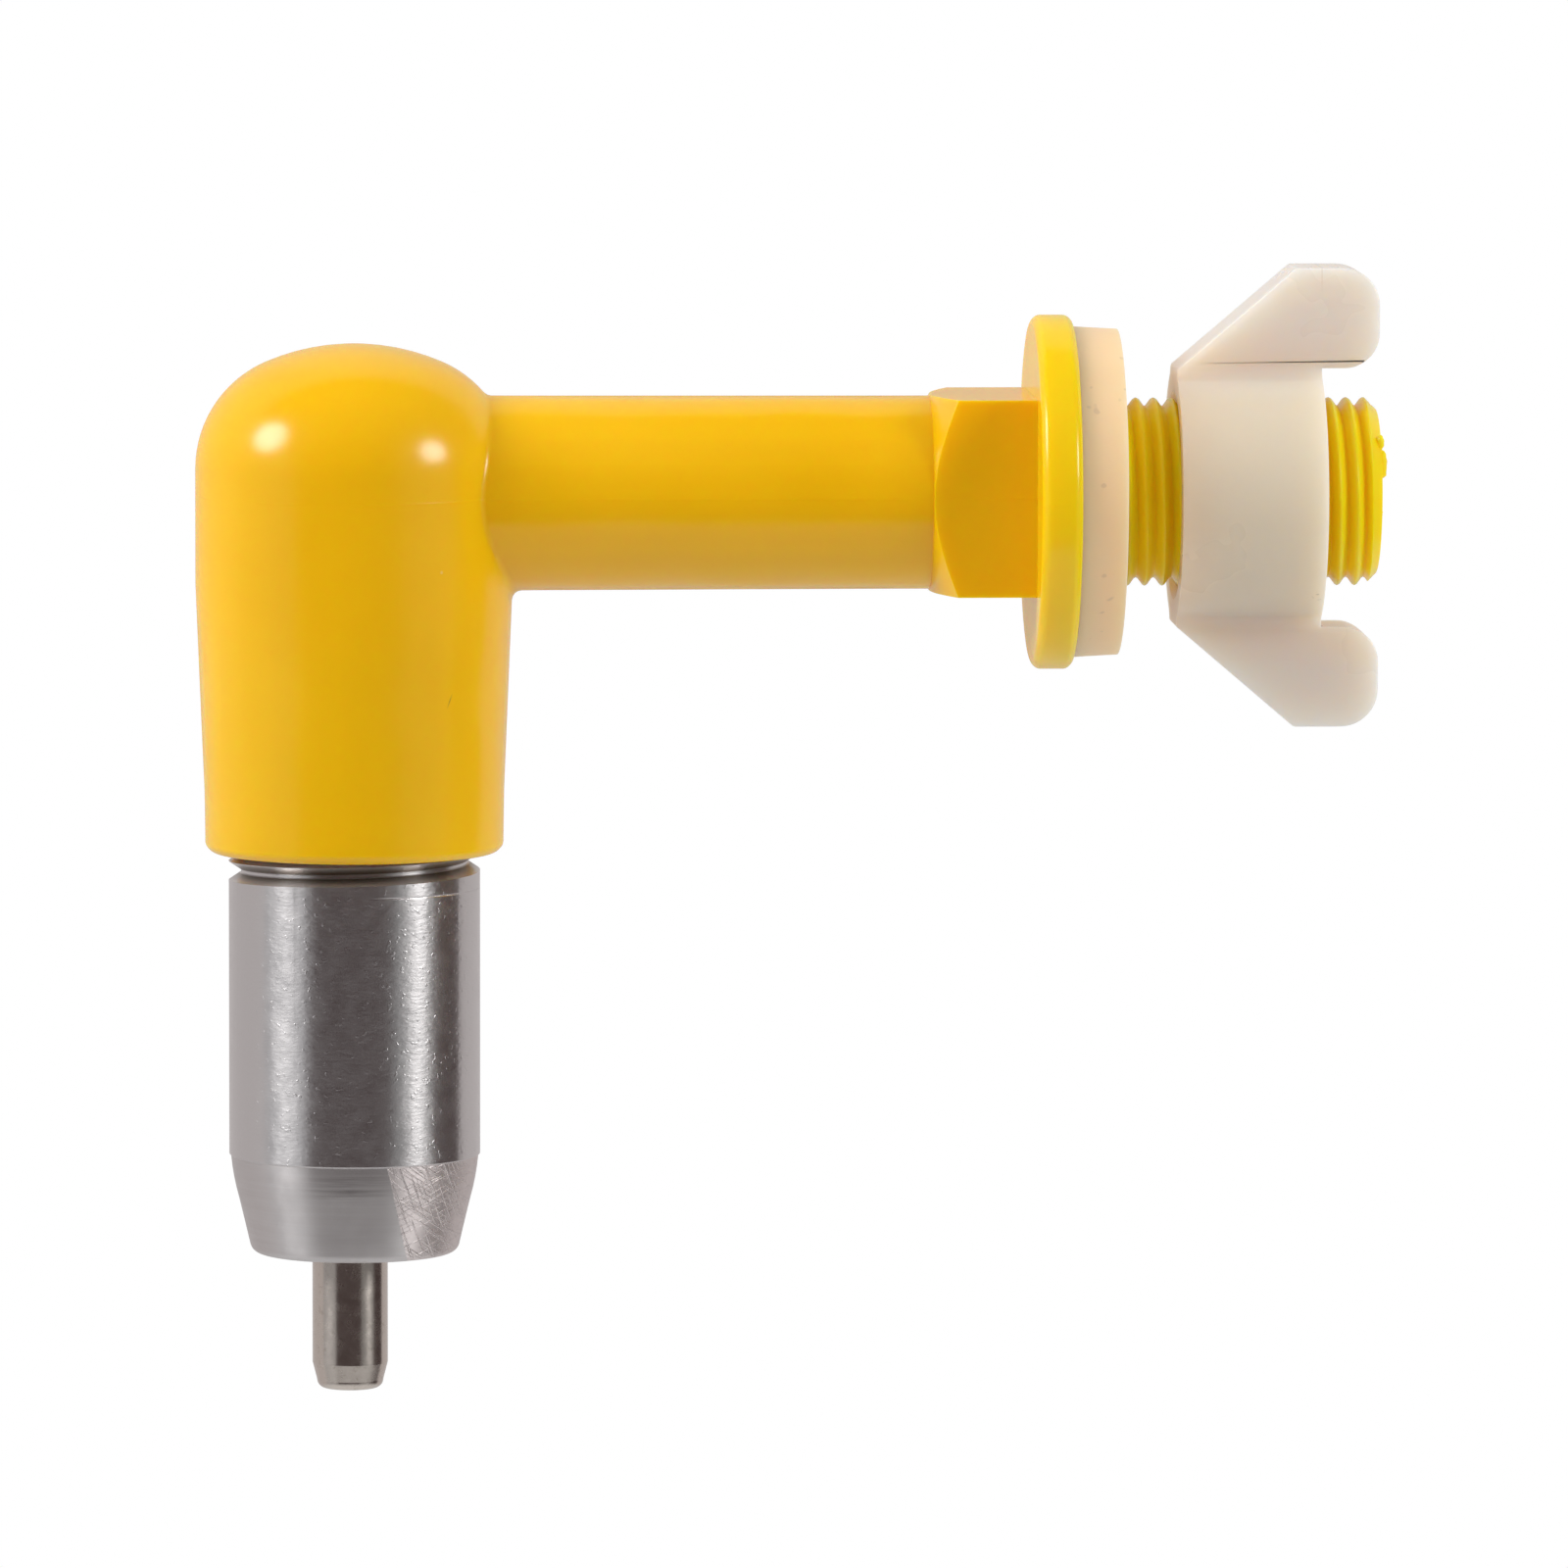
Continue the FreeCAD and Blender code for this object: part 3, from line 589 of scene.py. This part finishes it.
def turned_steel():
    """Turned steel: rippled and nicked on the body, brushed and scuffed on the nose."""
    paint = new_paint("turned_steel")
    where, x, y, z = paint.place()
    side = x - BARREL_X
    radius = (side * side + y * y) ** 0.5
    rings = paint.noise(paint.stretched(where, (60.0, 60.0, 9000.0)), 1.0, 3.0)
    ripples = paint.noise(paint.stretched(where, (2300.0, 2300.0, 5600.0)), 1.0, 2.0)
    cloud = paint.noise(where, 1100.0, 3.0, 0.6)
    nicks = paint.spread(paint.noise(where, 3600.0, 1.0), 0.66, 0.73)
    nose = paint.spread(z, NOSE_TOP_Z, NOSE_TOP_Z - 0.1 * MM)
    body = 1 - nose

    patch_edge = BARREL_X + 1.5 * MM + (NOSE_TOP_Z - z) * 0.21
    patch = nose * paint.spread(x - patch_edge, 0, 0.06 * MM) * paint.spread(y, 2.5 * MM, 2 * MM)
    scuffs = paint.scratches(where, 38) + paint.scratches(where, -24) + paint.scratches(where, 71)
    brushed = paint.noise(paint.stretched(where, (160.0, 160.0, 5200.0)), 1.0, 3.0, 0.6)
    # A darker patch, streaked with the brushing, on the front middle of the nose.
    dark_front_patch_z = NOSE_TOP_Z - 1.1 * MM
    dark_front_patch = paint.mark(z - dark_front_patch_z, 0.95 * MM) * paint.mark(side + 0.4 * MM, 2.6 * MM)
    dark_front_patch = dark_front_patch * nose * paint.spread(brushed, 0.42, 0.58) * paint.spread(y, -4 * MM, -5 * MM)

    # Painted shade: the lower flank of the last thread groove, under the skirt, is painted dark brown,
    # standing in for the skirt's shadow and the dark underside it reflects.
    painted_groove_shade = paint.spread(radius, HOUSING_CREST - 0.08 * MM, HOUSING_ROOT + 0.12 * MM)
    painted_groove_shade = painted_groove_shade * paint.spread(z, LAST_GROOVE_Z - 0.9 * MM, LAST_GROOVE_Z - 0.5 * MM)
    painted_groove_shade = painted_groove_shade * (1 - paint.spread(radius, HOUSING_ROOT + 0.1 * MM, HOUSING_ROOT + 0.04 * MM))
    ring = paint.mark(z - RING_Z, 0.05 * MM) * paint.spread(side, 0.5 * MM, 2 * MM) * body

    base = paint.mix(brushed * nose * 0.6, colour(0.62, 0.6, 0.6), colour(0.5, 0.46, 0.45))
    base = paint.mix(patch, base, colour(0.74, 0.68, 0.67))
    base = paint.mix(dark_front_patch * 0.7, base, colour(0.2, 0.18, 0.18))
    base = paint.mix(painted_groove_shade * 0.85, base, colour(0.14, 0.105, 0.07))
    height = rings * 0.15 + (ripples * 1.2 + nicks * 0.6) * body
    height = height + brushed * nose * 0.6 + scuffs * patch * 2.2 - ring * 2.5
    rough = paint.spread(cloud, 0.3, 0.7, 0.28, 0.35) + nose * 0.1 + patch * 0.1
    return paint.finish(
        Base_Color=base,
        Metallic=1.0,
        Roughness=rough,
        Anisotropic=0.8,
        Anisotropic_Rotation=0.25,
        Normal=paint.bump(height, 0.000009),
    )


def pin_steel():
    """Drawn steel, a little darker and warmer, speckled with dirt."""
    paint = new_paint("pin_steel")
    where = paint.where()
    drawn = paint.noise(paint.stretched(where, (2600.0, 2600.0, 500.0)), 1.0, 3.0)
    cloud = paint.noise(where, 1400.0, 3.0, 0.6)
    dirt = paint.spread(paint.noise(where, 2200.0, 4.0, 0.7), 0.58, 0.74)
    base = paint.mix(dirt * 0.55, colour(0.6, 0.54, 0.49), colour(0.26, 0.21, 0.16))
    return paint.finish(
        Base_Color=base,
        Metallic=1.0,
        Roughness=paint.spread(cloud, 0.3, 0.7, 0.22, 0.3),
        Anisotropic=0.75,
        Anisotropic_Rotation=0.25,
        Normal=paint.bump(drawn * 0.3 + cloud * 0.4 + dirt * 0.4, 0.000007),
    )


def black_rubber():
    paint = new_paint("black_rubber")
    where = paint.where()
    cloud = paint.noise(where, 900.0, 3.0)
    return paint.finish(
        Base_Color=paint.mix(cloud, colour(0.02, 0.02, 0.02), colour(0.045, 0.043, 0.04)),
        Roughness=paint.spread(cloud, 0.3, 0.7, 0.5, 0.7),
        Normal=paint.bump(cloud, 0.00002, 0.5),
    )


def cage_plastic():
    paint = new_paint("cage_plastic")
    where = paint.where()
    cloud = paint.noise(where, 700.0, 3.0)
    return paint.finish(
        Base_Color=paint.mix(cloud, colour(0.7, 0.7, 0.66), colour(0.76, 0.76, 0.73)),
        Roughness=paint.spread(cloud, 0.3, 0.7, 0.35, 0.5),
        Subsurface_Weight=0.2,
        Subsurface_Scale=0.0005,
        Normal=paint.bump(cloud, 0.00001, 0.4),
    )


def dress(piece, material):
    piece.data.materials.clear()
    piece.data.materials.append(material)


# ---------------------------------------------------------------- studio


CAMERA_AZIMUTH = math.radians(-3.0)
CAMERA_ELEVATION = math.radians(5.5)
CAMERA_ROLL = math.radians(0.1)
CAMERA_DISTANCE = 0.70707
CAMERA_AIM = Vector((-0.017318, -0.002596, -0.014875))
CAMERA_LENS = 315.0
FLOOR_Z = -0.9
FLOOR_RADIUS = 1.44
SOFTBOX_DISTANCE = 1.0


def make_camera():
    data = bpy.data.cameras.new("camera")
    data.lens = CAMERA_LENS
    data.sensor_width = 36.0
    data.clip_start = 0.01
    data.clip_end = 50.0
    camera = bpy.data.objects.new("camera", data)
    bpy.context.scene.collection.objects.link(camera)
    flat = math.cos(CAMERA_ELEVATION)
    back = Vector((
        math.sin(CAMERA_AZIMUTH) * flat,
        -math.cos(CAMERA_AZIMUTH) * flat,
        math.sin(CAMERA_ELEVATION),
    ))
    camera.location = CAMERA_AIM + back * CAMERA_DISTANCE
    camera.rotation_euler = (-back).to_track_quat("-Z", "Y").to_euler()
    camera.rotation_euler.rotate_axis("Z", CAMERA_ROLL)
    bpy.context.scene.camera = camera


def make_floor():
    """A pale round table, below the object and out of the camera's view."""
    bpy.ops.mesh.primitive_circle_add(
        vertices=96, radius=FLOOR_RADIUS, fill_type="NGON", location=(0, 0, FLOOR_Z)
    )
    floor = bpy.context.object
    floor.name = "floor"
    paint = new_paint("floor")
    path = paint.node("LightPath")
    lift = paint.mix(path.outputs["Is Camera Ray"], colour(0, 0, 0), colour(0.3, 0.3, 0.3))
    dress(floor, paint.finish(
        Base_Color=colour(0.8, 0.8, 0.8),
        Roughness=0.9,
        Specular_IOR_Level=0.0,
        Emission_Color=lift,
        Emission_Strength=1.0,
    ))


def make_world():
    """White to the camera, an even pale tent for the surfaces, and for gloss a
    pale backdrop behind the object with the darker room in front of it."""
    world = bpy.data.worlds.new("studio")
    bpy.context.scene.world = world
    paint = Paint(world)
    where = paint.node("TexCoord").outputs["Generated"]
    parts = paint.node("SeparateXYZ", None, {0: where})
    across, away, up = (Number(paint, parts.outputs[i]) for i in range(3))
    behind = paint.spread(away - across.least(0.0) * 0.33, 0.33, 0.4)
    level = paint.spread(abs(up), 0.65, 0.45)
    left = paint.spread(across, -0.66, -0.74) * level
    right = paint.spread(across, 0.5, 0.58) * paint.spread(away, -0.2, -0.28) * level
    gloss = paint.mix(left, colour(0.065, 0.045, 0.045), colour(0.42, 0.42, 0.43))
    gloss = paint.mix(right, gloss, colour(0.25, 0.25, 0.25))
    gloss = paint.mix(behind, gloss, colour(0.6, 0.565, 0.56))
    path = paint.node("LightPath")
    front = paint.spread(away, -0.95, -0.5)
    tent = paint.mix(front, colour(0.25, 0.25, 0.25), colour(0.8, 0.8, 0.8))
    lit = paint.mix(path.outputs["Is Glossy Ray"], tent, gloss)
    seen = paint.mix(path.outputs["Is Camera Ray"], lit, colour(1, 1, 1))
    shader = paint.node("Background", None, {"Color": seen, "Strength": 1.0})
    paint.node("OutputWorld", None, {"Surface": shader.outputs[0]})


def make_softbox(name, azimuth, elevation, size, power):
    """A round soft light aimed at the object, its azimuth counted from -Y towards +X."""
    data = bpy.data.lights.new(name, "AREA")
    data.shape = "DISK"
    data.size = size
    data.energy = power
    light = bpy.data.objects.new(name, data)
    bpy.context.scene.collection.objects.link(light)
    a, e = math.radians(azimuth), math.radians(elevation)
    back = Vector((math.sin(a) * math.cos(e), -math.cos(a) * math.cos(e), math.sin(e)))
    target = (cad_box[0] + cad_box[1]) / 2
    light.location = target + back * SOFTBOX_DISTANCE
    light.rotation_euler = (-back).to_track_quat("-Z", "Y").to_euler()


def make_studio():
    make_camera()
    make_floor()
    make_world()
    make_softbox("softbox_left", azimuth=-74, elevation=30, size=0.42, power=6.0)
    make_softbox("softbox_right", azimuth=60, elevation=20, size=0.32, power=3.6)
    bpy.context.scene.view_settings.view_transform = "Standard"


# ---------------------------------------------------------------- the scene


def main():
    make_studio()
    dress(make_elbow(), yellow_plastic())
    dress(make_nipple(), turned_steel())
    dress(make_nut(), milky_plastic())
    pin = pin_steel()
    finishes = {
        "sealing_washer": pale_rubber(),
        "trigger_pin": pin,
        "seat_bush": pin,
        "valve_stem": pin,
        "thread_gasket": black_rubber(),
        "valve_cage": cage_plastic(),
    }
    for node, material in finishes.items():
        dress(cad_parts[node], material)


main()
